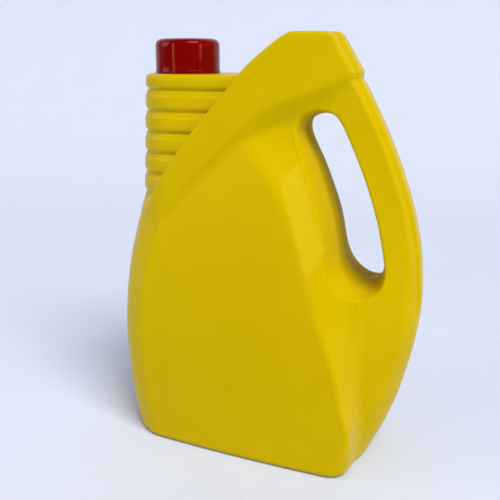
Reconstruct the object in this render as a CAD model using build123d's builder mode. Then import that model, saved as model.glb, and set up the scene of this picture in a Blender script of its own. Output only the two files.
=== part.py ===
from build123d import *
import math
import os

# Four-litre blow-moulded jug with a ribbed neck tower, an arched shoulder band,
# an offset grip and a screw cap. Front is -Y, the grip is at +X, the neck at -X.
# The origin is at the centre of the bounding box, on the surface it stands on.

os.makedirs("parts", exist_ok=True)

# ---------------------------------------------------------------- dimensions
wall = 1.5                 # blown wall
base_half_depth = 51.5     # half of the depth at the foot

neck_x = -61.0             # axis of neck, tower and cap
tower_top_z = 269.5
tower_bottom_z = 160.0
tower_r_top = 28.0         # groove-bottom radius at the top
tower_r_bottom = 32.9      # same, at the bottom
tower_end_x = -5.0         # the tower runs into the band as far as this
rib_pitch = 14.7
rib_height = 2.1
rib_first_groove_z = 258.9
rib_count = 6

neck_root_r = 19.0
neck_bore_r = 16.6
neck_top_z = 290.2
thread_pitch = 4.233
thread_depth = 1.15
thread_turns = 1.75
thread_start_z = 279.0

cap_r_bottom = 23.0
cap_r_top = 22.7
cap_bottom_z = 269.9
cap_top_z = 293.6
cap_top_wall = 2.0
cap_bevel = 2.6
cap_bore_r = 20.8          # clear of the bottle thread's crest
cap_thread_r = 19.4        # crest of the cap's inside thread, clear of the neck
cap_thread_turns = 1.5
liner_r = 20.3
liner_thick = 1.2

band_round = 2.6

# Left and right outline of the body, x against height.
left_outline = [(0, -101.6), (10, -104.0), (25, -107.2), (52, -110.9), (78, -112.0), (102, -110.7),
                (130, -106.8), (156, -100.8), (168, -98.0), (178, -94.8), (186, -83.0), (195, -67.0),
                (205, -58.5), (215, -51.0), (225, -43.5), (235, -35.5), (245, -27.0), (255, -18.0),
                (265, -9.5), (275, 0.5), (284, 10.0)]
right_outline = [(0, 79.0), (14, 85.8), (28.4, 92.0), (42.2, 97.2), (55.5, 101.4), (68.6, 105.1),
                 (81.3, 107.9), (93.6, 109.9), (105.6, 111.3), (117.4, 112.0), (128.9, 111.8),
                 (140.3, 111.0), (151.4, 109.9), (162.3, 108.2), (173.2, 106.1), (183.8, 103.5),
                 (193.2, 101.0), (203.6, 97.3), (214, 93.5), (224.4, 89.0), (234.6, 84.5),
                 (244.8, 79.3), (255, 73.7), (265.2, 67.6), (275, 61.5), (284, 56.0)]
# Where the flat front panel turns into the bevel, and where the bevel meets
# the flat that carries on up into the grip.
panel_edge = [(0, 66.5), (8, 70.5), (18, 73.0), (32, 74.1), (53.3, 69.3), (87.6, 60.1), (113.7, 49.7),
              (143.6, 40.4), (160.2, 34.3), (176.5, 26.7), (196.6, 16.7), (210.7, 5.5), (223.7, -7.3),
              (235, -18.0), (250, -18.0), (284, 14.0)]
bevel_edge = [(0, 76.0), (32.2, 78.0), (56.9, 76.6), (80.9, 75.0), (104.6, 73.1), (125.7, 71.0),
              (150, 67.0), (180, 59.0), (210, 49.0), (240, 42.0), (284, 40.0)]
bevel_half = [(0, 24.0), (32, 30.0), (57, 33.0), (80, 34.0), (105, 33.5), (127, 32.0), (150, 29.0),
              (180, 24.5), (205, 21.0), (225, 18.5), (240, 17.5), (284, 16.5)]
spine_half = [(0, 22.0), (14, 25.0), (28, 26.5), (50, 26.5), (80, 25.0), (105, 23.0), (127, 20.5),
              (150, 18.5), (175, 16.8), (200, 15.8), (235, 15.4), (284, 15.4)]
end_round = [(0, 2.0), (14, 6.5), (28, 11.0), (60, 14.0), (100, 12.0), (127, 9.0), (150, 6.0),
             (175, 4.5), (284, 4.0)]
left_round = [(0, 36.0), (150, 36.0), (178, 30.0), (195, 16.0), (215, 8.0), (284, 8.0)]

# The arched band over tower, panel and grip, as (x, z) points.
band_upper = [(-80.0, 179.5), (-71.6, 193.2), (-63.4, 204.4), (-47.5, 226.0), (-33.2, 243.2),
              (-21.7, 256.5), (-12.9, 267.0), (-4.7, 277.9), (7.5, 288.2), (17.0, 295.2)]
band_lower = [(62.0, 270.5), (50.8, 264.8), (32.5, 254.4), (13.8, 244.6), (-1.6, 236.7),
              (-15.2, 226.6), (-31.3, 212.3), (-50.6, 193.2), (-69.7, 166.2), (-80.2, 141.0)]

# The grip opening at mid-depth, and how far it flares with depth.
hole_points = [(43.5, 244.0), (37.6, 243.2), (32.4, 240.0), (30.2, 234.5), (30.9, 229.0), (33.3, 223.0),
               (40.6, 207.4), (49.3, 184.0), (52.8, 172.5), (55.2, 161.3), (57.2, 150.5), (59.2, 144.2),
               (63.2, 138.6), (70.0, 134.2), (77.0, 133.4), (82.8, 136.8), (85.3, 143.0), (84.6, 150.0),
               (81.6, 164.5), (79.0, 175.4), (71.3, 198.5), (62.1, 220.0), (57.0, 230.6), (54.2, 236.0),
               (50.0, 241.6)]
hole_flare = [(0, 0.0), (10, 0.7), (19, 2.6), (28, 5.0), (38, 7.5), (50, 10.5)]


def along(table, t):
    """Smooth curve through a table of (t, value)."""
    n = len(table)
    if t <= table[0][0]:
        return table[0][1]
    if t >= table[-1][0]:
        return table[-1][1]
    k = 0
    while table[k + 1][0] < t:
        k += 1
    d = [(table[i + 1][1] - table[i][1]) / (table[i + 1][0] - table[i][0]) for i in range(n - 1)]

    def slope(i):
        if i == 0:
            return d[0]
        if i == n - 1:
            return d[-1]
        if d[i - 1] * d[i] <= 0:
            return 0.0
        return 2 * d[i - 1] * d[i] / (d[i - 1] + d[i])

    t0, v0 = table[k]
    t1, v1 = table[k + 1]
    h = t1 - t0
    s = (t - t0) / h
    a, b = slope(k), slope(k + 1)
    return (v0 * (1 + 2 * s) * (1 - s) ** 2 + h * a * s * (1 - s) ** 2
            + v1 * s * s * (3 - 2 * s) + h * b * s * s * (s - 1))


def panel_half(x, z):
    """Half-thickness at the crowned front panel."""
    return base_half_depth - 6.0 * ((x - 54) / 130) ** 2 - 0.0006 * max(0.0, z - 50) ** 2


def section_edges(z, t=0.0):
    """Half-section at height z, pulled in by t: left end, panel, bevel, flat, right end."""
    xl, xr = along(left_outline, z) + t, along(right_outline, z) - t
    ra = along(left_round, z) - 0.6 * t
    x1 = xl + ra
    xp = max(along(panel_edge, z), x1 + 3.0)
    xq = max(along(bevel_edge, z), xp + 2.0)
    hp, hq, he = panel_half(xp, z) - t, along(bevel_half, z) - t, along(spine_half, z) - t
    rr = max(1.0, min(along(end_round, z) - 0.5 * t, xr - xq - 1.5, he - 1.0))
    xe = xr - rr
    left, panel, right = [], [], []
    for i in range(9):
        a = math.radians(90 * i / 8)
        left.append((xl + ra * (1 - math.cos(a)), -(panel_half(x1, z) - t) * math.sin(a)))
    for i in range(7):
        x = x1 + (xp - x1) * i / 6
        panel.append((x, -(panel_half(x, z) - t)))
    bevel = [(xp, -hp), (xq, -hq)]
    flat = [(xq, -hq), (xe, -he)]
    for i in range(7):
        a = math.radians(90 * i / 6)
        right.append((xe + rr * math.sin(a), -(he - rr + rr * math.cos(a))))
    return left, panel, bevel, flat, right


body_levels = [(0, 4.5), (1.4, 1.9), (5, 0.15), (14, 0), (26, 0), (40, 0), (54, 0), (68, 0), (82, 0), (96, 0),
               (110, 0), (124, 0), (138, 0), (152, 0), (165, 0), (174, 0), (184, 0), (195, 0), (206, 0),
               (218, 0), (230, 0), (242, 0), (254, 0), (266, 0), (277, 0)]


def body_section(z, t):
    """Draw the closed section at height z."""
    left, panel, bevel, flat, right = section_edges(z, t)

    def back(points):
        return [(x, -y) for x, y in reversed(points)]

    Spline(*(back(left)[:-1] + left))
    Spline(*panel)
    Line(*bevel)
    Line(*flat)
    Spline(*right)
    Line(right[-1], back(right)[0])
    Spline(*back(right))
    Line(*back(flat))
    Line(*back(bevel))
    Spline(*back(panel))


def tower_profile(t):
    """Ribbed side of the tower as (radius, z), from the bottom up."""
    def groove_r(z):
        k = (z - tower_bottom_z) / (tower_top_z - tower_bottom_z)
        return tower_r_bottom + (tower_r_top - tower_r_bottom) * k - t

    grooves = [rib_first_groove_z - rib_pitch * i for i in range(rib_count)][::-1]
    line = [(groove_r(tower_bottom_z) + rib_height, tower_bottom_z)]
    arcs = []
    start = line[0]
    for i, g in enumerate(grooves):
        end = (groove_r(g), g)
        if i == 0:
            mid = (groove_r((start[1] + g) / 2 + 2) + rib_height, (start[1] + g) / 2 + 2)
        else:
            mid = (groove_r((start[1] + g) / 2) + rib_height, (start[1] + g) / 2)
        arcs.append((start, mid, end))
        start = end
    return arcs


def draw_tower_half(t, inner_x=0.0):
    """Closed half-profile of the tower between the axis and its ribbed side."""
    top = tower_top_z - t
    arcs = tower_profile(t)
    for start, mid, end in arcs:
        ThreePointArc(start, mid, end)
    g = arcs[-1][2]
    edge_r = tower_r_top + rib_height - t
    shoulder = (edge_r, top - 3.6)
    ThreePointArc(g, (edge_r - 0.35, (g[1] + shoulder[1]) / 2 - 0.6), shoulder)
    ThreePointArc(shoulder, (edge_r - 0.85, top - 1.1), (edge_r - 3.0, top))
    Polyline((edge_r - 3.0, top), (inner_x, top), (inner_x, tower_bottom_z), arcs[0][0])


def grow(points, d):
    """Move the points of a closed outline outwards by d."""
    n = len(points)
    cx, cz = sum(p[0] for p in points) / n, sum(p[1] for p in points) / n
    out = []
    for i, (x, z) in enumerate(points):
        x0, z0 = points[i - 1]
        x1, z1 = points[(i + 1) % n]
        nx, nz = z1 - z0, x0 - x1
        k = math.hypot(nx, nz)
        nx, nz = nx / k, nz / k
        if nx * (x - cx) + nz * (z - cz) < 0:
            nx, nz = -nx, -nz
        out.append((x + d * nx, z + d * nz))
    return out


def beside(points, d):
    """Points of an open line moved d to the right of its direction."""
    out = []
    for i, (x, z) in enumerate(points):
        x0, z0 = points[max(i - 1, 0)]
        x1, z1 = points[min(i + 1, len(points) - 1)]
        k = math.hypot(x1 - x0, z1 - z0)
        out.append((x + d * (z1 - z0) / k, z - d * (x1 - x0) / k))
    return out


def band_outline(t):
    """Outline of the band in side view, pulled in by t."""
    up = beside(band_upper, t)
    low = beside([(64.0, 271.6)] + band_lower[1:], t)
    Spline(*up)
    FilletPolyline(up[-1], (20.6 + 0.4 * t, 297.2 - t), (53.6 - 0.5 * t, 297.2 - t), (70.6 - 1.2 * t, 270.6 + 1.4 * t),
                   radius=6.0 - t)
    Line((70.6 - 1.2 * t, 270.6 + 1.4 * t), low[0])
    Spline(*low)
    Polyline(low[-1], (-96.0 + t, 122.0 + t), (-96.0 + t, 176.0 - t), up[0])


def band_plan(t):
    """Half-thickness of the band against x, as a closed plan outline."""
    EllipticalCenterArc((neck_x, 0), 35.2 - t, 38.6 - t, start_angle=90, arc_size=180)
    front = [(neck_x, -38.6 + t), (-38.0, -37.2 + t), (-13.0, -34.2 + t), (20.0, -27.2 + t),
             (50.0, -20.0 + t), (80.0, -12.6 + t)]
    Spline(*front, tangents=[(1, 0), (1, 0.25)])
    Line((80.0, -12.6 + t), (80.0, 12.6 - t))
    Spline(*[(x, -y) for x, y in reversed(front)], tangents=[(-1, 0.25), (-1, 0)])


# ---------------------------------------------------------------- bottle, outside
with BuildPart() as tower:
    with BuildSketch(Plane(origin=(neck_x, 0, 0), x_dir=(1, 0, 0), z_dir=(0, -1, 0))):
        with BuildLine():
            draw_tower_half(0.0)
        make_face()
    revolve(axis=Axis((neck_x, 0, 0), (0, 0, 1)))
    with BuildSketch(Plane(origin=(neck_x, 0, 0), x_dir=(0, 1, 0), z_dir=(1, 0, 0))) as tower_side:
        with BuildLine():
            draw_tower_half(0.0)
        make_face()
        mirror(about=Plane.YZ)
    extrude(amount=tower_end_x - neck_x)

with BuildPart() as band:
    with BuildSketch(Plane.XZ):
        with BuildLine():
            band_outline(0.0)
        make_face()
    extrude(amount=60, both=True)
    with BuildSketch(Plane.XY):
        with BuildLine():
            band_plan(0.0)
        make_face()
    extrude(amount=310, mode=Mode.INTERSECT)
    # Long upper and lower edges of both faces, over the arch and down its end.
    face_edges = [e for e in band.edges() if abs(e.center().Y) > 12 and abs(e.tangent_at(0.5).Y) < 0.6]
    upper = [e for e in face_edges if e.center().Z > 281 or (abs(e.center().X + 24) < 3 and e.center().Z > 245)]
    lower = [e for e in face_edges if abs(e.center().X + 4.4) < 3 and e.length > 100]
    fillet(upper + lower, radius=band_round)

# Bell-mouthed opening for the hand, through from front to back.
with BuildPart() as opening:
    for side in (-1, 1):
        for depth, d in hole_flare:
            with BuildSketch(Plane.XZ.offset(side * depth)):
                with BuildLine():
                    Spline(*grow(hole_points, d), periodic=True)
                make_face()
        loft()

with BuildPart() as neck_thread:
    with BuildLine() as thread_path:
        Helix(thread_pitch, thread_pitch * thread_turns, neck_root_r, center=(neck_x, 0, thread_start_z))
    with BuildSketch(Plane(origin=thread_path.line @ 0, x_dir=(1, 0, 0), z_dir=thread_path.line % 0)):
        with BuildLine():
            Polyline((-0.35, -1.05), (thread_depth, -0.45), (thread_depth, 0.45), (-0.35, 1.05), close=True)
        make_face()
    sweep(path=thread_path.line, is_frenet=True)

# ---------------------------------------------------------------- bottle, inside
with BuildPart() as tower_inside:
    with BuildSketch(Plane(origin=(neck_x, 0, 0), x_dir=(1, 0, 0), z_dir=(0, -1, 0))):
        with BuildLine():
            draw_tower_half(wall)
        make_face()
    revolve(axis=Axis((neck_x, 0, 0), (0, 0, 1)))
    with BuildSketch(Plane(origin=(neck_x, 0, 0), x_dir=(0, 1, 0), z_dir=(1, 0, 0))):
        with BuildLine():
            draw_tower_half(wall)
        make_face()
        mirror(about=Plane.YZ)
    extrude(amount=tower_end_x - neck_x - wall)

with BuildPart() as band_inside:
    with BuildSketch(Plane.XZ):
        with BuildLine():
            band_outline(wall)
        make_face()
    extrude(amount=60, both=True)
    with BuildSketch(Plane.XY):
        with BuildLine():
            band_plan(wall)
        make_face()
    extrude(amount=310, mode=Mode.INTERSECT)

with BuildPart() as opening_sleeve:
    for side in (-1, 1):
        for depth, d in hole_flare:
            with BuildSketch(Plane.XZ.offset(side * depth)):
                with BuildLine():
                    Spline(*grow(hole_points, d + wall), periodic=True)
                make_face()
        loft()

inside_levels = [(wall, 3.4), (wall + 1.2, 1.4), (wall + 4.5, 0.1)] + body_levels[3:-1] + [(275.5, 0)]
with BuildPart() as cavity:
    for z, inset in inside_levels:
        with BuildSketch(Plane.XY.offset(z)):
            with BuildLine():
                body_section(z, wall + inset)
            make_face()
    loft()
    add(tower_inside.part)
    add(band_inside.part)
    add(opening_sleeve.part, mode=Mode.SUBTRACT)
    with BuildSketch(Plane.XY.offset(tower_top_z - 6)):
        with Locations((neck_x, 0)):
            Circle(neck_bore_r)
    extrude(amount=neck_top_z - tower_top_z + 7)

# ---------------------------------------------------------------- bottle
with BuildPart() as bottle:
    for z, inset in body_levels:
        with BuildSketch(Plane.XY.offset(z)):
            with BuildLine():
                body_section(z, inset)
            make_face()
    loft()
    add(tower.part)
    add(band.part)
    add(opening.part, mode=Mode.SUBTRACT)
    with BuildSketch(Plane.XY.offset(tower_top_z - 1)):
        with Locations((neck_x, 0)):
            Circle(neck_root_r)
    extrude(amount=neck_top_z - tower_top_z + 1)
    add(neck_thread.part)
    add(cavity.part, mode=Mode.SUBTRACT)

bottle.part.label = "bottle"
export_step(bottle.part, "parts/bottle.step")

# ---------------------------------------------------------------- cap
with BuildPart() as cap_thread:
    with BuildLine() as cap_path:
        Helix(thread_pitch, thread_pitch * cap_thread_turns, cap_bore_r,
              center=(neck_x, 0, thread_start_z - thread_pitch / 2))
    with BuildSketch(Plane(origin=cap_path.line @ 0, x_dir=(1, 0, 0), z_dir=cap_path.line % 0)):
        with BuildLine():
            inner = cap_thread_r - cap_bore_r
            Polyline((0.35, -1.05), (inner, -0.4), (inner, 0.4), (0.35, 1.05), close=True)
        make_face()
    sweep(path=cap_path.line, is_frenet=True)

with BuildPart() as cap:
    with BuildSketch(Plane(origin=(neck_x, 0, 0), x_dir=(1, 0, 0), z_dir=(0, -1, 0))):
        with BuildLine():
            Polyline((cap_bore_r, cap_bottom_z), (cap_r_bottom, cap_bottom_z), (cap_r_bottom, cap_bottom_z + 1.6),
                     (cap_r_bottom - 0.3, cap_bottom_z + 2.6), (cap_r_top, cap_top_z - cap_bevel))
            Spline((cap_r_top, cap_top_z - cap_bevel), (cap_r_top - 1.1, cap_top_z - 1.25),
                   (cap_r_top - 4.2, cap_top_z), tangents=[(0, 1), (-1, 0.05)])
            Polyline((cap_r_top - 4.2, cap_top_z), (0, cap_top_z), (0, cap_top_z - cap_top_wall),
                     (cap_bore_r, cap_top_z - cap_top_wall), (cap_bore_r, cap_bottom_z))
        make_face()
    revolve(axis=Axis((neck_x, 0, 0), (0, 0, 1)))
    add(cap_thread.part)

cap.part.label = "cap"
export_step(cap.part, "parts/cap.step")

# ---------------------------------------------------------------- liner
with BuildPart() as cap_liner:
    with BuildSketch(Plane.XY.offset(cap_top_z - cap_top_wall - liner_thick)):
        with Locations((neck_x, 0)):
            Circle(liner_r)
    extrude(amount=liner_thick)

cap_liner.part.label = "cap_liner"
export_step(cap_liner.part, "parts/cap_liner.step")

for piece in (bottle, cap, cap_liner):
    box = piece.part.bounding_box()
    print(piece.part.label, "volume", round(piece.part.volume), "mm3, box",
          [round(v, 2) for v in (*box.min, *box.max)])
print("capacity to the brim", round(cavity.part.volume / 1e6, 2), "litres")
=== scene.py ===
import math

import bpy
import numpy as np
from mathutils import Matrix, Vector


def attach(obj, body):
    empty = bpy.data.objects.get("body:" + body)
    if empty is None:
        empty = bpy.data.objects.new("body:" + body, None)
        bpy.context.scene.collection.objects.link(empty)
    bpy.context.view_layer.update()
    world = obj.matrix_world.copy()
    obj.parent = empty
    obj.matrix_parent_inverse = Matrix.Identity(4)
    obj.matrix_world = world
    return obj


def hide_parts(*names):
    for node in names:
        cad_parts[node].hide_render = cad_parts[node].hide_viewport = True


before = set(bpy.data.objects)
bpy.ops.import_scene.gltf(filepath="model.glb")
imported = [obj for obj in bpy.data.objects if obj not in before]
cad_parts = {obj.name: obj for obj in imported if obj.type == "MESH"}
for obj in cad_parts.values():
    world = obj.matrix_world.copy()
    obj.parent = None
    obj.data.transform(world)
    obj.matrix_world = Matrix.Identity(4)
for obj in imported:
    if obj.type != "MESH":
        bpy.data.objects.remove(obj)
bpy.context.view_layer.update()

# The jug's skin is a smooth implicit shape, worked out in millimetres in the CAD
# frame: +X from the neck to the grip, front -Y, +Z up. It is meshed further down.

NECK_X = -61.0
GRID = 1.5

# ------------------------------------------------------------------ tables
LEFT = [(0, -101.6), (10, -104.0), (25, -107.2), (52, -110.9), (78, -112.0), (102, -111.3), (130, -107.7),
        (156, -101.6), (168, -98.0), (178, -94.8), (186, -83.0), (195, -67.0), (205, -58.5), (215, -51.0),
        (225, -43.5), (235, -35.5), (245, -27.0), (255, -18.0), (265, -9.5), (275, 0.5), (284, 10.0)]
RIGHT = [(0, 79.3), (14, 86.6), (28.4, 93.0), (42.2, 98.1), (55.5, 102.0), (68.6, 105.1), (81.3, 107.9),
         (93.6, 109.9), (105.6, 111.3), (117.4, 112.0), (128.9, 111.8), (140.3, 111.0), (151.4, 109.9),
         (162.3, 108.0), (173.2, 105.6), (183.8, 102.6), (193.2, 99.7), (203.6, 95.9), (214, 91.9),
         (224.4, 87.4), (234.6, 82.7), (244.8, 77.6), (255, 72.2), (265.2, 66.2), (275, 60.1), (284, 54.5)]
PANEL_EDGE = [(0, 70.0), (8, 72.8), (18, 74.2), (32, 74.3), (53.3, 69.3), (87.6, 60.1), (113.7, 49.7),
              (143.6, 40.4), (160.2, 34.3), (176.5, 26.7), (196.6, 16.7), (210.7, 5.5), (223.7, -7.3),
              (235, -18.0), (250, -32.0), (284, -40.0)]
BEVEL_EDGE = [(0, 76.0), (32.2, 78.0), (56.9, 76.6), (80.9, 75.0), (104.6, 73.1), (125.7, 71.0), (150, 67.0),
              (180, 59.0), (210, 49.0), (240, 42.0), (284, 40.0)]
BEVEL_HALF = [(0, 24), (32, 30), (57, 33), (80, 34), (105, 33.5), (127, 32), (150, 29), (180, 24.5), (205, 21),
              (225, 18.5), (240, 17.5), (284, 16.5)]
SPINE_HALF = [(0, 22), (14, 25), (28, 26.5), (50, 26.5), (80, 25), (105, 23), (127, 20.5), (150, 18.5),
              (175, 16.8), (200, 15.8), (235, 15.4), (284, 15.4)]
END_ROUND = [(0, 5), (14, 8), (28, 11), (60, 14), (100, 11), (127, 7.5), (150, 4.5), (175, 3.2), (284, 2.8)]
LEFT_ROUND = [(0, 36), (150, 36), (178, 30), (195, 16), (215, 8), (284, 8)]
BAND_PLAN = [(-61, 38.6), (-38, 37.2), (-13, 34.2), (20, 27.2), (50, 20), (80, 12.6)]
BAND_UPPER = [(-80.0, 179.5), (-71.6, 193.2), (-63.4, 204.4), (-47.5, 226.0), (-33.2, 243.2), (-21.7, 256.5),
              (-12.9, 266.8), (-4.2, 276.6), (8.4, 287.6), (18.0, 295.0)]
BAND_LOWER = [(60.3, 269.3), (45.2, 263.0), (29.8, 256.6), (19.1, 253.0), (9.0, 248.9), (-1.2, 242.2),
              (-9.8, 234.2), (-22.1, 221.7), (-38.1, 205.2), (-51.5, 190.5), (-63.0, 175.5), (-69.8, 162.5),
              (-75.0, 147.5), (-79.0, 133.5), (-82.2, 120.5), (-84.4, 107.0), (-85.5, 93.0)]
HOLE = [(43.5, 244.0), (37.6, 243.2), (32.4, 240.0), (30.2, 234.5), (30.9, 229.0), (33.3, 223.0), (40.6, 207.4),
        (49.3, 184.0), (52.8, 172.5), (55.2, 161.3), (57.2, 149.5), (59.4, 141.6), (63.6, 134.8), (70.0, 130.4),
        (77.0, 129.4), (82.8, 132.6), (85.5, 139.8), (84.8, 149.0), (81.6, 164.5), (79.0, 175.4), (71.3, 198.5),
        (62.1, 220.0), (57.0, 230.6), (54.2, 236.0), (50.0, 241.6)]
FLARE = [(0, 0.0), (50, 7.8)]
HATCH = [(31.3, 214.1), (20.7, 200.4), (28.1, 178.4), (37.9, 149.6), (42.8, 141.1), (50.8, 156.6), (47.8, 164.4),
         (40.1, 190.4), (32.8, 209.6)]


def curve(table):
    """Smooth function through a table, flat beyond its ends."""
    t = np.array([p[0] for p in table], float)
    v = np.array([p[1] for p in table], float)
    h, d = np.diff(t), np.diff(v) / np.diff(t)
    m = np.zeros(len(t))
    same = d[:-1] * d[1:] > 0
    m[1:-1][same] = 2 * (d[:-1] * d[1:])[same] / (d[:-1] + d[1:])[same]
    m[0], m[-1] = d[0], d[-1]

    def f(q):
        q = np.clip(q, t[0], t[-1])
        k = np.clip(np.searchsorted(t, q, side="right") - 1, 0, len(t) - 2)
        s = (q - t[k]) / h[k]
        return (v[k] * (1 + 2 * s) * (1 - s) ** 2 + h[k] * m[k] * s * (1 - s) ** 2
                + v[k + 1] * s * s * (3 - 2 * s) + h[k] * m[k + 1] * s * s * (s - 1))
    return f


left_of, right_of, panel_edge_of = curve(LEFT), curve(RIGHT), curve(PANEL_EDGE)
bevel_edge_of, bevel_half_of, spine_half_of = curve(BEVEL_EDGE), curve(BEVEL_HALF), curve(SPINE_HALF)
end_round_of, left_round_of, plan_of, flare_of = curve(END_ROUND), curve(LEFT_ROUND), curve(BAND_PLAN), curve(FLARE)


def through(points, steps, closed=False):
    """Points along a smooth line through the given points."""
    p = np.array(points, float)
    n = len(p)
    out = []
    last = n if closed else n - 1
    for i in range(last):
        a, b = p[i], p[(i + 1) % n]
        z0 = p[(i - 1) % n] if closed or i else 2 * a - b
        z1 = p[(i + 2) % n] if closed or i < n - 2 else 2 * b - a
        for s in np.arange(steps) / steps:
            out.append(0.5 * (2 * a + (b - z0) * s + (2 * z0 - 5 * a + 4 * b - z1) * s * s
                              + (3 * a - z0 - 3 * b + z1) * s ** 3))
    if not closed:
        out.append(p[-1])
    return np.array(out)


def rounded_corner(a, c, b, r, n=6):
    """Points of an arc that rounds the corner c between the runs from a and to b."""
    a, c, b = (np.array(q, float) for q in (a, c, b))
    u, w = (a - c) / np.linalg.norm(a - c), (b - c) / np.linalg.norm(b - c)
    half = math.acos(float(np.clip(u @ w, -1, 1))) / 2
    t = r / math.tan(half)
    p, q = c + u * t, c + w * t
    return [tuple((1 - s) ** 2 * p + 2 * s * (1 - s) * c + s * s * q) for s in np.linspace(0, 1, n)]


def outline_distance(poly, px, pz):
    """Signed distance to a closed outline, negative inside."""
    best = np.full(np.broadcast(px, pz).shape, 1e9)
    inside = np.zeros(best.shape, bool)
    n = len(poly)
    for i in range(n):
        ax, az = poly[i]
        bx, bz = poly[(i + 1) % n]
        ex, ez = bx - ax, bz - az
        wx, wz = px - ax, pz - az
        t = np.clip((wx * ex + wz * ez) / (ex * ex + ez * ez + 1e-12), 0, 1)
        dx, dz = wx - t * ex, wz - t * ez
        np.minimum(best, dx * dx + dz * dz, out=best)
        if az != bz:
            cross = ((az > pz) != (bz > pz)) & (px < ax + (pz - az) * ex / ez)
            inside ^= cross
    best = np.sqrt(best)
    return np.where(inside, -best, best)


TOP_A = (21.8, 297.2)
TOP_B = (50.2, 297.2)
END = (65.8, 271.8)
UP_POLY = ([(-125.0, 105.0)] + [tuple(p) for p in through(BAND_UPPER, 4)[:-1]]
           + rounded_corner(BAND_UPPER[-2], TOP_A, TOP_B, 10) + rounded_corner(TOP_A, TOP_B, END, 5)
           + rounded_corner(TOP_B, END, (65.0, 267.2), 2.5, 4)
           + [(65.0, 267.2), (90.0, 263.0), (125.0, 130.0), (125.0, -20.0), (-125.0, -20.0)])
LOW_POLY = ([(90.0, 286.0)] + [tuple(p) for p in through(BAND_LOWER, 4)]
            + [(-87.0, 70.0), (-125.0, 20.0), (-125.0, 340.0), (90.0, 340.0)])
HOLE_POLY = through(HOLE, 6, closed=True)


def smax(a, b, k):
    h = np.maximum(k - np.abs(a - b), 0) / k
    return np.maximum(a, b) + h * h * k * 0.25


def smin(a, b, k):
    h = np.maximum(k - np.abs(a - b), 0) / k
    return np.minimum(a, b) - h * h * k * 0.25


def rmax(a, b, r):
    """Intersection with a round edge of radius r."""
    u, w = np.maximum(a + r, 0), np.maximum(b + r, 0)
    return np.minimum(np.maximum(a, b), -r) + np.sqrt(u * u + w * w)


def step(a, b, t):
    s = np.clip((t - a) / (b - a), 0, 1)
    return s * s * (3 - 2 * s)


def panel_half(x, z):
    return 51.5 - 6.0 * ((x - 54) / 130) ** 2 - 0.0006 * np.maximum(0.0, z - 50) ** 2


def oval(x, y, cx, ax, ay):
    """Distance to the left half of an oval, and to a flat face beyond its centre."""
    u, w = np.maximum(cx - x, 0) / ax, y / ay
    q = np.maximum(np.sqrt(u * u + w * w), 1e-3)
    g = np.sqrt((u / ax) ** 2 + (w / ay) ** 2) / q
    return (q - 1) / np.maximum(g, 1e-4)


def spine_relief(y):
    """Depth of the grooves beside the raised strip that runs down the grip's back."""
    a = np.abs(y)
    return 1.3 * np.exp(-((a - 9.9) / 1.5) ** 2) + 1.9 * step(7.6, 11.6, a) + 0.004 * y * y


def plane_parts(x, z):
    """Everything that depends on x and z alone."""
    p = {}
    xl, xr, ra = left_of(z), right_of(z), left_round_of(z)
    p["x1"], p["ra"], p["xr"] = xl + ra, ra, xr
    p["ay"] = panel_half(p["x1"], z)
    xp = panel_edge_of(z)
    xq = np.maximum(bevel_edge_of(z), xp + 2)
    p["xq"] = xq
    hp, hq, he = panel_half(xp, z), bevel_half_of(z), spine_half_of(z)
    rr = end_round_of(z)
    xe = xr - np.minimum(rr, np.maximum(xr - xq - 1.5, 1.0))
    p["ph"] = panel_half(x, z)
    lb = np.hypot(xq - xp, hp - hq)
    p["b0"], p["by"] = (x - xp) * (hp - hq) / lb - hp * (xq - xp) / lb, (xq - xp) / lb
    ls = np.hypot(xe - xq, hq - he)
    p["s0"], p["sy"] = (x - xq) * (hq - he) / ls - hq * (xe - xq) / ls, (xe - xq) / ls
    p["hq"], p["rr"] = hq, rr
    p["strip"] = step(96, 128, z)
    p["up"] = outline_distance(UP_POLY, x, z)
    p["low"] = outline_distance(LOW_POLY, x, z)
    p["hb"] = plan_of(x)
    # Crest where the panel meets the rounded left side, below the band.
    d = np.maximum(-p["low"], 0)
    p["crest"] = 0.34 * d * np.exp(-d / 6.5) * step(82, 112, z) * (1 - step(168, 186, z))
    p["soft"] = 2.4 + 9.0 * (1 - step(4, 40, z))
    # Raised line along the grip opening's body side.
    p["bead"] = (1 - step(-4, 4, x - 71 + 0.33 * (z - 150))) * step(152, 182, z) * (1 - step(226, 240, z))
    p["hole"] = outline_distance(HOLE_POLY, x, z)
    return p


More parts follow.
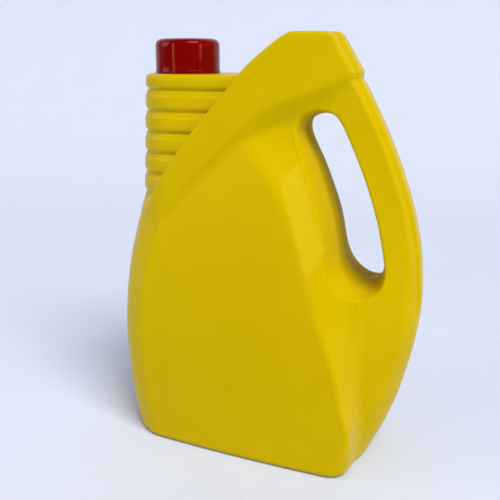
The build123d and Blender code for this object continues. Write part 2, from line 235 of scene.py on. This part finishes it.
def skin(x, y, z, p=None):
    """Signed distance, roughly, to the jug's skin without its neck tower."""
    p = p or plane_parts(x, z)
    a = np.abs(y)
    front = np.where(x < p["x1"], oval(x, a, p["x1"], p["ra"], p["ay"]), a - p["ph"])
    front = front + p["crest"]
    main = np.maximum(smax(front, p["b0"] + a * p["by"], p["soft"]), x - np.minimum(p["xr"] - 1.5, p["xq"] + 2.0))
    relief = spine_relief(y)
    end = x - p["xr"] + relief * p["strip"]
    side = rmax(smax(p["s0"] + a * p["sy"], a - p["hq"], 1.0), end, p["rr"])
    side = np.maximum(side, p["xq"] - 30.0 - x)
    slab = smax(smin(main, side, 3.0), z - 280.0, 1.0)

    face = np.where(x < NECK_X, oval(x, a, NECK_X, 35.2, 38.6), a - p["hb"])
    slope = 0.38
    ramp = (face + slope * p["low"]) / math.sqrt(1 + slope * slope)
    face = smax(face, ramp, 0.9)
    rim = p["up"] + relief * step(43, 55, x)
    band = rmax(face, rim, 2.4)
    band = rmax(band, x - p["xr"] - 6.0 * np.maximum(0, z - 267.2) + relief * p["strip"], 2.8)
    body = smin(slab, band, 2.0)

    wall = p["hole"] - flare_of(a)
    body = body - 0.5 * np.exp(-((wall - 1.3) / 1.2) ** 2) * p["bead"]
    body = smax(body, -wall, 1.6)

    hollow = 2.4 * step(7, 20, -slab)
    body = rmax(body, hollow - z, 4.2)
    # Room inside, under the neck.
    room = smax(np.hypot(x - NECK_X, y) - 24.5, 150.0 - z, 4.0)
    return smax(body, -room, 1.5)


def nets(lo, size, h):
    """Mesh of the zero surface by surface nets, then pulled onto it."""
    n = [int(math.ceil(s / h)) + 1 for s in size]
    gx, gy, gz = (lo[i] + h * np.arange(n[i]) for i in range(3))
    x, z = gx[:, None, None], gz[None, None, :]
    p = plane_parts(x + 0 * z, z + 0 * x)
    f = skin(x, gy[None, :, None], z, p)
    neg = f < 0
    corners = [(i, j, k) for i in (0, 1) for j in (0, 1) for k in (0, 1)]
    count = sum(neg[i:n[0] - 1 + i, j:n[1] - 1 + j, k:n[2] - 1 + k].astype(np.int8) for i, j, k in corners)
    cells = np.argwhere((count > 0) & (count < 8))
    number = np.full(count.shape, -1, np.int64)
    number[tuple(cells.T)] = np.arange(len(cells))
    val = np.stack([f[cells[:, 0] + i, cells[:, 1] + j, cells[:, 2] + k] for i, j, k in corners], 1)
    total, hits = np.zeros((len(cells), 3)), np.zeros(len(cells))
    for u in range(8):
        for w in range(u + 1, 8):
            cu, cw = np.array(corners[u]), np.array(corners[w])
            if abs(cu - cw).sum() != 1:
                continue
            cross = (val[:, u] < 0) != (val[:, w] < 0)
            t = val[:, u] / np.where(cross, val[:, u] - val[:, w], 1)
            total[cross] += (cu + (cw - cu) * t[:, None])[cross]
            hits += cross
    verts = np.array(lo) + h * (cells + total / hits[:, None])
    faces = []
    for axis in range(3):
        b, c = (axis + 1) % 3, (axis + 2) % 3
        one = [slice(None)] * 3
        two = [slice(None)] * 3
        one[axis], two[axis] = slice(0, -1), slice(1, None)
        s0, s1 = neg[tuple(one)], neg[tuple(two)]
        e = np.argwhere(s0 != s1)
        keep = (e[:, b] > 0) & (e[:, c] > 0) & (e[:, b] < n[b] - 1) & (e[:, c] < n[c] - 1)
        e = e[keep]
        inner = s0[tuple(e.T)]
        quad = []
        for db, dc in ((-1, -1), (0, -1), (0, 0), (-1, 0)):
            q = e.copy()
            q[:, b] += db
            q[:, c] += dc
            quad.append(number[tuple(q.T)])
        quad = np.stack(quad, 1)
        quad[~inner] = quad[~inner][:, ::-1]
        faces.append(quad)
    faces = np.concatenate(faces)
    eps = 0.04
    for turn in range(3):
        f0 = skin(*verts.T)
        g = np.stack([(skin(*(verts + d).T) - skin(*(verts - d).T)) / (2 * eps) for d in np.eye(3) * eps], 1)
        move = -(f0 / np.maximum((g * g).sum(1), 0.2))[:, None] * g
        far = np.linalg.norm(move, axis=1, keepdims=True)
        verts += move * np.minimum(1, 0.6 * h / np.maximum(far, 1e-9))
    eps = 0.35
    g = np.stack([skin(*(verts + d).T) - skin(*(verts - d).T) for d in np.eye(3) * eps], 1)
    return verts, faces, g / np.maximum(np.linalg.norm(g, axis=1, keepdims=True), 1e-9)


def mesh_object(name, verts, faces, smooth=True):
    me = bpy.data.meshes.new(name)
    me.from_pydata((np.asarray(verts) / 1000.0).tolist(), [], np.asarray(faces).tolist() if len(faces) else [])
    me.validate()
    me.update()
    if smooth:
        me.polygons.foreach_set("use_smooth", np.ones(len(me.polygons), bool))
    ob = bpy.data.objects.new(name, me)
    bpy.context.scene.collection.objects.link(ob)
    return ob


def rings(loops, closed=False):
    """Quads between successive loops of as many points each."""
    n = len(loops[0])
    faces = []
    m = len(loops)
    for i in range(m if closed else m - 1):
        a, b = i * n, ((i + 1) % m) * n
        for j in range(n):
            k = (j + 1) % n
            faces.append((a + j, a + k, b + k, b + j))
    return np.concatenate(loops), faces


# ------------------------------------------------------------------ jug skin
verts, faces, facing = nets((-114.5, -54.0, -2.0), (229.0, 108.0, 302.0), GRID)
print("skin", len(verts), "points", 2 * len(faces), "triangles")
jug = mesh_object("jug_skin", verts, faces)
jug.data.normals_split_custom_set_from_vertices(facing.tolist())
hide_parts("bottle")
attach(jug, "jug")

mark = jug.data.attributes.new("hatch", "FLOAT", "POINT")
inside_patch = step(1.2, -1.2, outline_distance(through(HATCH, 3, closed=True), verts[:, 0], verts[:, 2]))
mark.data.foreach_set("value", (inside_patch * (np.abs(verts[:, 1]) > 18)).astype(np.float32))
trim = jug.data.attributes.new("trim", "FLOAT", "POINT")
near = step(6.5, 5.0, outline_distance(HOLE_POLY, verts[:, 0], verts[:, 2]) - 0.156 * np.abs(verts[:, 1]) + 4.0)
side_y = np.abs(verts[:, 1])
back = step(-14, -8, verts[:, 0] - right_of(verts[:, 2])) * step(100, 120, verts[:, 2])
back *= step(5.5, 7.5, side_y) * (1 - step(13.0, 15.0, side_y))
trim.data.foreach_set("value", np.maximum(near, back).astype(np.float32))

# ------------------------------------------------------------------ ribbed tower and neck
PITCH, FIRST = 14.7, 258.8
RIB = curve([(0.0, 0.0), (0.04, 0.45), (0.10, 1.22), (0.14, 1.32), (0.20, 1.34), (0.26, 1.80), (0.32, 2.14),
             (0.42, 2.22), (0.60, 2.22), (0.78, 2.1), (0.88, 1.7), (0.95, 0.75), (1.0, 0.0)])


def tower_radius(z):
    base = 32.9 + (28.0 - 32.9) * (z - 160) / 109.5
    u = (FIRST - z) / PITCH
    u = u - math.floor(u)
    if z > FIRST:
        u = 1 - (z - FIRST) / PITCH
        u = max(u, 0.45)
    return base + float(RIB(np.array(u)))


TURN = 200
edge_of = curve([(q[1], q[0]) for q in BAND_UPPER])
angle = np.arange(TURN) * 2 * math.pi / TURN


def tower_loop(z, shrink=0.0):
    r = tower_radius(z) - shrink
    c, s = np.cos(angle), np.sin(angle)
    far = min(57.0, max(13.0, float(edge_of(np.array(z))) + 7.0 - NECK_X)) - shrink
    reach = np.where(c > 1e-6, np.minimum(r / np.maximum(np.abs(s), 1e-6), far / np.maximum(c, 1e-6)), r)
    return np.stack([NECK_X + reach * c, reach * s, np.full(TURN, z)], 1)


def circle_loop(r, z):
    return np.stack([NECK_X + r * np.cos(angle), r * np.sin(angle), np.full(TURN, float(z))], 1)


loops = [tower_loop(z) for z in np.arange(158.0, 266.0, 0.6)]
for z, shrink in ((266.2, 0.0), (267.0, 0.15), (267.8, 0.45), (268.5, 0.95), (269.0, 1.6), (269.3, 2.3), (269.45, 3.2),
                  (269.5, 4.2)):
    loops.append(tower_loop(z, shrink))
for r, z in ((20.6, 269.5), (19.6, 269.7), (19.15, 270.2), (19.0, 271.0), (19.0, 288.8), (18.8, 289.6), (18.3, 290.1),
             (17.6, 290.2), (17.1, 290.1), (16.7, 289.7), (16.6, 289.0), (16.6, 272.0), (16.8, 268.8), (17.6, 267.6),
             (19.5, 266.8), (22.0, 266.0), (23.6, 264.4), (24.4, 261.0), (24.8, 250.0), (25.0, 220.0), (25.0, 149.0)):
    loops.append(circle_loop(r, z))
v, f = rings(loops)
tower = mesh_object("ribbed_tower", v, f)
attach(tower, "jug")


def thread(name, r_root, r_crest, z0, turns, pitch, half, n=90, hand=1):
    """Screw thread that fades out at both ends."""
    loops_ = []
    for i in range(n + 1):
        s = i / n
        a = hand * s * turns * 2 * math.pi
        z = z0 + s * turns * pitch
        fade = min(1.0, s * turns * 5, (1 - s) * turns * 5)
        fade = fade * fade * (3 - 2 * fade)
        top = r_root + (r_crest - r_root) * fade
        pts = []
        for r, dz in ((r_root, -half), (r_root + (top - r_root) * 0.75, -half * 0.62), (top, -half * 0.36),
                      (top, half * 0.30), (r_root + (top - r_root) * 0.75, half * 0.52), (r_root, half * 0.85)):
            pts.append((NECK_X + r * math.cos(a), r * math.sin(a), z + dz))
        loops_.append(np.array(pts))
    m = len(loops_[0])
    faces_ = []
    for i in range(n):
        for j in range(m - 1):
            q = (i * m + j, (i + 1) * m + j, (i + 1) * m + j + 1, i * m + j + 1)
            faces_.append(q if r_crest > r_root else q[::-1])
    return mesh_object(name, np.concatenate(loops_), faces_)


neck_thread = thread("neck_thread", 18.95, 20.15, 279.0, 1.75, 4.233, 1.2)
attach(neck_thread, "jug")

# ------------------------------------------------------------------ cap
CAP_TURN = 192
angle = np.arange(CAP_TURN) * 2 * math.pi / CAP_TURN
TURN = CAP_TURN
outer = [(20.8, 270.1), (21.0, 269.9), (22.9, 269.9), (23.15, 270.0), (23.2, 270.25), (23.2, 271.2), (23.15, 271.5),
         (22.98, 271.8), (22.9, 272.2), (22.9, 276.0), (22.9, 282.0), (22.9, 287.0), (22.88, 288.8),
         (22.76, 289.8), (22.5, 290.7), (22.05, 291.5), (21.35, 292.2),
         (20.4, 292.8), (19.2, 293.25), (17.8, 293.5), (16.0, 293.6), (12.0, 293.55), (6.0, 293.46), (0.02, 293.45)]
inner = [(0.02, 291.6), (10.0, 291.6), (20.0, 291.6), (20.6, 291.4), (20.8, 291.0), (20.8, 280.0), (20.8, 270.1)]
loops = [circle_loop(r, z) for r, z in outer]
v, f = rings(loops)
loops2 = [circle_loop(r, z) for r, z in inner]
v2, f2 = rings(loops2)
off = len(v)
cap = mesh_object("screw_cap", np.concatenate([v, v2]), list(f) + [tuple(i + off for i in q) for q in f2])
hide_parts("cap")
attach(cap, "turning_cap")
cap_thread = thread("cap_thread", 20.85, 19.5, 276.9, 1.5, 4.233, 1.1)
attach(cap_thread, "turning_cap")


# ------------------------------------------------------------------ materials
def material(name, rough, spec=0.5):
    m = bpy.data.materials.new(name)
    m.use_nodes = True
    nt = m.node_tree
    b = nt.nodes["Principled BSDF"]
    b.inputs["Roughness"].default_value = rough
    b.inputs["Specular IOR Level"].default_value = spec
    return m, nt, b


def node(nt, kind, **props):
    n = nt.nodes.new(kind)
    for k, val in props.items():
        setattr(n, k, val)
    return n


def noise(nt, coords, scale, detail=3.0, rough=0.55, stretch=None):
    src = coords
    if stretch:
        mp = node(nt, "ShaderNodeMapping")
        mp.inputs["Scale"].default_value = stretch
        nt.links.new(coords, mp.inputs["Vector"])
        src = mp.outputs["Vector"]
    n = node(nt, "ShaderNodeTexNoise")
    n.inputs["Scale"].default_value = scale
    n.inputs["Detail"].default_value = detail
    n.inputs["Roughness"].default_value = rough
    nt.links.new(src, n.inputs["Vector"])
    return n.outputs["Fac"]


def remap(nt, src, a, b, lo, hi):
    n = node(nt, "ShaderNodeMapRange", interpolation_type="SMOOTHSTEP")
    for key, val in (("From Min", a), ("From Max", b), ("To Min", lo), ("To Max", hi)):
        n.inputs[key].default_value = val
    nt.links.new(src, n.inputs["Value"])
    return n.outputs["Result"]


def math_node(nt, op, a, b=None):
    n = node(nt, "ShaderNodeMath", operation=op)
    for i, q in enumerate((a, b)):
        if q is None:
            continue
        if isinstance(q, (int, float)):
            n.inputs[i].default_value = q
        else:
            nt.links.new(q, n.inputs[i])
    return n.outputs[0]


def mix_color(nt, fac, a, b):
    n = node(nt, "ShaderNodeMix", data_type="RGBA")
    nt.links.new(fac, n.inputs["Factor"])
    for sock, q in ((n.inputs[6], a), (n.inputs[7], b)):
        if isinstance(q, tuple):
            sock.default_value = (*q, 1)
        else:
            nt.links.new(q, sock)
    return n.outputs[2]


def bump(nt, height, strength, distance, normal=None):
    n = node(nt, "ShaderNodeBump")
    n.inputs["Strength"].default_value = strength
    n.inputs["Distance"].default_value = distance
    nt.links.new(height, n.inputs["Height"])
    if normal is not None:
        nt.links.new(normal, n.inputs["Normal"])
    return n.outputs["Normal"]


YELLOW = (0.540, 0.380, 0.0)
YELLOW_DEEP = (0.512, 0.355, 0.0)
RED = (0.235, 0.0022, 0.0018)


def yellow_plastic(name, hatch):
    m, nt, b = material(name, 0.4, 0.09)
    b.inputs["Specular Tint"].default_value = (1.0, 0.80, 0.12, 1)
    co = node(nt, "ShaderNodeTexCoord").outputs["Object"]
    cloud = noise(nt, co, 9.0, 2.0)
    fine = noise(nt, co, 55.0, 3.0)
    tone = math_node(nt, "ADD", math_node(nt, "MULTIPLY", cloud, 0.7), math_node(nt, "MULTIPLY", fine, 0.3))
    color = mix_color(nt, remap(nt, tone, 0.3, 0.7, 0.0, 1.0), YELLOW_DEEP, YELLOW)
    scuff = noise(nt, co, 120.0, 4.0, 0.65, (1.0, 1.0, 0.22))
    rough = math_node(nt, "ADD", remap(nt, fine, 0.3, 0.7, 0.30, 0.37), remap(nt, scuff, 0.6, 0.75, 0.0, 0.12))
    peel = noise(nt, co, 420.0, 2.0)
    wave = noise(nt, co, 34.0, 2.0)
    n1 = bump(nt, wave, 0.35, 0.0012)
    n2 = bump(nt, peel, 0.25, 0.00012, n1)
    if hatch:
        at = node(nt, "ShaderNodeAttribute", attribute_name="hatch")
        mp = node(nt, "ShaderNodeMapping")
        mp.inputs["Rotation"].default_value = (0, math.radians(-28), 0)
        nt.links.new(co, mp.inputs["Vector"])
        wv = node(nt, "ShaderNodeTexWave", wave_type="BANDS", bands_direction="Z", wave_profile="SIN")
        wv.inputs["Scale"].default_value = 216.0
        nt.links.new(mp.outputs["Vector"], wv.inputs["Vector"])
        line = math_node(nt, "MULTIPLY", wv.outputs["Fac"], at.outputs["Fac"])
        n2 = bump(nt, line, 0.6, 0.0003, n2)
        # The lighter yellow mixed onto the hatch lines is a painted highlight on their ridges; the bump above is the
        # real hatching.
        color = mix_color(nt, math_node(nt, "MULTIPLY", line, 0.55), color, (0.66, 0.49, 0.012))
        # The trimmed wall of the grip opening and the grooves down the back are duller than the rest.
        cut = node(nt, "ShaderNodeAttribute", attribute_name="trim")
        nt.links.new(remap(nt, cut.outputs["Fac"], 0.0, 1.0, 0.09, 0.012), b.inputs["Specular IOR Level"])
        rough = math_node(nt, "ADD", rough, math_node(nt, "MULTIPLY", cut.outputs["Fac"], 0.2))
    nt.links.new(color, b.inputs["Base Color"])
    nt.links.new(rough, b.inputs["Roughness"])
    nt.links.new(n2, b.inputs["Normal"])
    return m


jug.data.materials.append(yellow_plastic("yellow_polyethylene", True))
neck_yellow = yellow_plastic("yellow_polyethylene_neck", False)
tower.data.materials.append(neck_yellow)
neck_thread.data.materials.append(neck_yellow)


def red_plastic(name):
    m, nt, b = material(name, 0.2, 0.22)
    b.inputs["Specular Tint"].default_value = (1.0, 0.30, 0.26, 1)
    co = node(nt, "ShaderNodeTexCoord").outputs["Object"]
    cloud = noise(nt, co, 40.0, 3.0)
    nt.links.new(mix_color(nt, cloud, (0.152, 0.0006, 0.0004), (0.186, 0.0010, 0.0008)), b.inputs["Base Color"])
    scratch = noise(nt, co, 260.0, 3.0, 0.6, (1.0, 1.0, 0.1))
    nt.links.new(remap(nt, scratch, 0.35, 0.75, 0.10, 0.22), b.inputs["Roughness"])
    nt.links.new(bump(nt, noise(nt, co, 90.0, 2.0), 0.25, 0.0004), b.inputs["Normal"])
    return m


red = red_plastic("red_polypropylene")
cap.data.materials.append(red)
cap_thread.data.materials.append(red)


def wad(name):
    m, nt, b = material(name, 0.7, 0.3)
    co = node(nt, "ShaderNodeTexCoord").outputs["Object"]
    foam = noise(nt, co, 900.0, 3.0)
    nt.links.new(mix_color(nt, foam, (0.70, 0.69, 0.66), (0.82, 0.81, 0.79)), b.inputs["Base Color"])
    nt.links.new(remap(nt, foam, 0.3, 0.7, 0.62, 0.8), b.inputs["Roughness"])
    nt.links.new(bump(nt, foam, 0.5, 0.0002), b.inputs["Normal"])
    return m


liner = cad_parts["cap_liner"]
wad_mat = wad("foam_wad")
if liner.data.materials:
    for i in range(len(liner.data.materials)):
        liner.data.materials[i] = wad_mat
else:
    liner.data.materials.append(wad_mat)

# ------------------------------------------------------------------ floor, camera and light
scene = bpy.context.scene
scene.view_settings.view_transform = "Standard"
scene.view_settings.look = "None"


def plain(name, color, rough):
    m, nt, b = material(name, rough, 0.2)
    co = node(nt, "ShaderNodeTexCoord").outputs["Object"]
    g = noise(nt, co, 14.0, 2.0)
    light = tuple(min(1.0, c * 1.015) for c in color)
    dark = tuple(c * 0.985 for c in color)
    nt.links.new(mix_color(nt, g, dark, light), b.inputs["Base Color"])
    return m


sweep = []
for i in range(41):
    t = i / 40
    if t < 0.35:
        y, z = -2600 + t / 0.35 * 3200, 0.0
    elif t < 0.65:
        a = (t - 0.35) / 0.3 * math.pi / 2
        y, z = 600 + 700 * math.sin(a), 700 - 700 * math.cos(a)
    else:
        y, z = 1300, 700 + (t - 0.65) / 0.35 * 2600
    sweep.append([(x, y, z - 0.05) for x in (-3400, -1100, 1100, 3400)])
turn = Matrix.Rotation(math.radians(20), 3, "Z")
pts = [turn @ Vector(q) for row in sweep for q in row]
quads = [(i * 4 + j, i * 4 + j + 1, i * 4 + j + 5, i * 4 + j + 4) for i in range(40) for j in range(3)]
floor = mesh_object("studio_sweep", np.array([tuple(q) for q in pts]), quads)
floor.data.materials.append(plain("paper_sweep", (0.59, 0.625, 0.725), 0.9))

cam_data = bpy.data.cameras.new("camera")
cam = bpy.data.objects.new("camera", cam_data)
scene.collection.objects.link(cam)
cam.location = (0.144774, -0.435061, 0.282888)
cam.rotation_euler = (math.radians(90 - 13.496), 0, math.radians(20))
cam_data.sensor_width = 36
cam_data.lens = 46.8
cam_data.shift_y = -0.08
cam_data.clip_start, cam_data.clip_end = 0.02, 50
scene.camera = cam

world = bpy.data.worlds.new("studio")
scene.world = world
world.use_nodes = True
bg = world.node_tree.nodes["Background"]
bg.inputs["Color"].default_value = (0.86, 0.88, 1.0, 1)
bg.inputs["Strength"].default_value = 0.13


def area(name, azimuth, elevation, distance, width, height, power, color=(1, 1, 1), target=(0, 0, 0.15)):
    """Soft light. Azimuth 0 shines from the front and grows towards +X."""
    d = bpy.data.lights.new(name, "AREA")
    d.shape = "RECTANGLE"
    d.size, d.size_y, d.energy, d.color = width, height, power, color
    o = bpy.data.objects.new(name, d)
    a, e = math.radians(azimuth), math.radians(elevation)
    back = Vector((math.sin(a) * math.cos(e), -math.cos(a) * math.cos(e), math.sin(e)))
    o.location = Vector(target) + back * distance
    o.rotation_mode = "QUATERNION"
    o.rotation_quaternion = (-back).to_track_quat("-Z", "Y")
    scene.collection.objects.link(o)
    return o


area("key", 50, 53, 6.0, 3.0, 3.0, 385)
area("fill", -64, 22, 2.6, 1.4, 1.4, 20)
area("fill_right", 98, 6, 2.6, 1.2, 1.2, 7)
area("strip_left", -29, 12, 1.3, 0.022, 0.8, 2.6)
area("strip_right", 70, 12, 1.3, 0.026, 0.8, 3.2)
